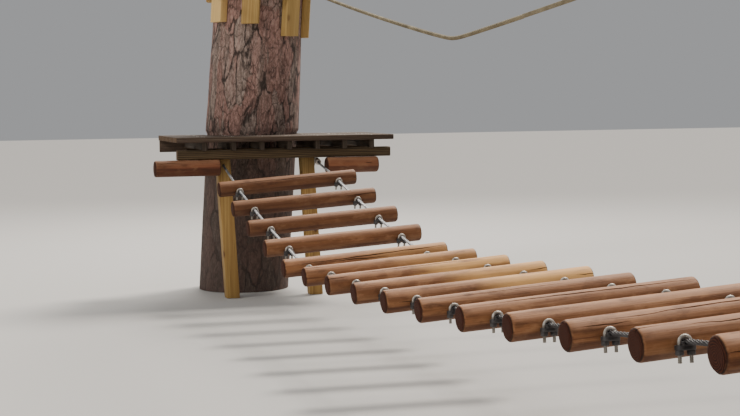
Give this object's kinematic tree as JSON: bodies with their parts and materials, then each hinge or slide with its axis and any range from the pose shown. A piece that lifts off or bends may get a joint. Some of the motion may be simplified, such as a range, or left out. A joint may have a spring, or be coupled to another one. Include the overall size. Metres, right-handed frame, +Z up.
{
  "type": "rope suspension footbridge",
  "caption": "Walkway of drilled round logs threaded on two steel ropes with rope grips, hung between two small timber platforms on poles, with rope hand lines.",
  "frame": {"origin": "ground level, under the middle of the bridge", "axes": "+Z up, +X along the walkway towards the far platform, +Y to the left of someone walking that way"},
  "size_m": [7.7004, 1.32, 1.99],
  "materials": {
    "log": "red-brown stained turned logs, worn and checked",
    "wire_rope": "galvanised wire rope and rope grips, dull",
    "hand_rope": "laid beige-grey fibre rope",
    "deck": "dark weathered deck boards",
    "rim": "brown weathered sawn timber",
    "post": "yellow pressure-treated sawn timber",
    "pole": "peeled weathered round timber"
  },
  "bodies": {
    "root": {"tread_01": "log", "tread_02": "log", "tread_03": "log", "tread_04": "log", "tread_05": "log", "tread_06": "log", "tread_07": "log", "tread_08": "log", "tread_09": "log", "tread_10": "log", "tread_11": "log", "tread_12": "log", "tread_13": "log", "tread_14": "log", "tread_15": "log", "tread_16": "log", "foot_rope_left": "wire_rope", "foot_rope_right": "wire_rope", "hand_rope_left": "hand_rope", "hand_rope_right": "hand_rope", "far_deck": "deck", "far_rim_beam": "rim", "far_ledger": "rim", "far_front_post_left": "post", "far_front_post_right": "post", "far_rope_guide": "wire_rope", "far_stub_left": "log", "far_stub_right": "log", "far_pole": "pole", "near_deck": "deck", "near_rim_beam": "rim", "near_ledger": "rim", "near_front_post_left": "post", "near_front_post_right": "post", "near_rope_guide": "wire_rope", "near_stub_left": "log", "near_stub_right": "log", "near_pole": "pole"}
  },
  "joints": []
}
